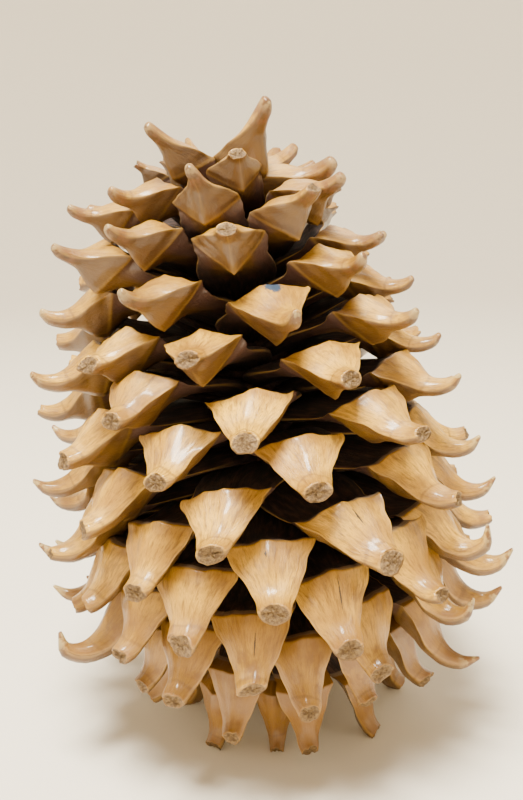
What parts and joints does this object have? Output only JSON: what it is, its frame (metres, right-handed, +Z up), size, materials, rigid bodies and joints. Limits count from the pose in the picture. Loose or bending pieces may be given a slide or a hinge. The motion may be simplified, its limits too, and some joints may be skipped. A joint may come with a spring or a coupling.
{
  "type": "pine cone",
  "caption": "Large open pine cone standing apex up, with woody scales in a tight spiral that end in hooked claws, some of them snapped off; a display or nature object",
  "frame": {"origin": "on the ground under the middle of the cone's bounding box; the lowest claws rest on z = 0", "axes": "+Z up from the stalk end to the apex; -Y is the side seen in the picture; +X is to the right there"},
  "size_m": [0.2099, 0.2173, 0.2816],
  "materials": {
    "wood": "satin"
  },
  "bodies": {
    "root": {"pine_cone": "wood"}
  },
  "joints": []
}
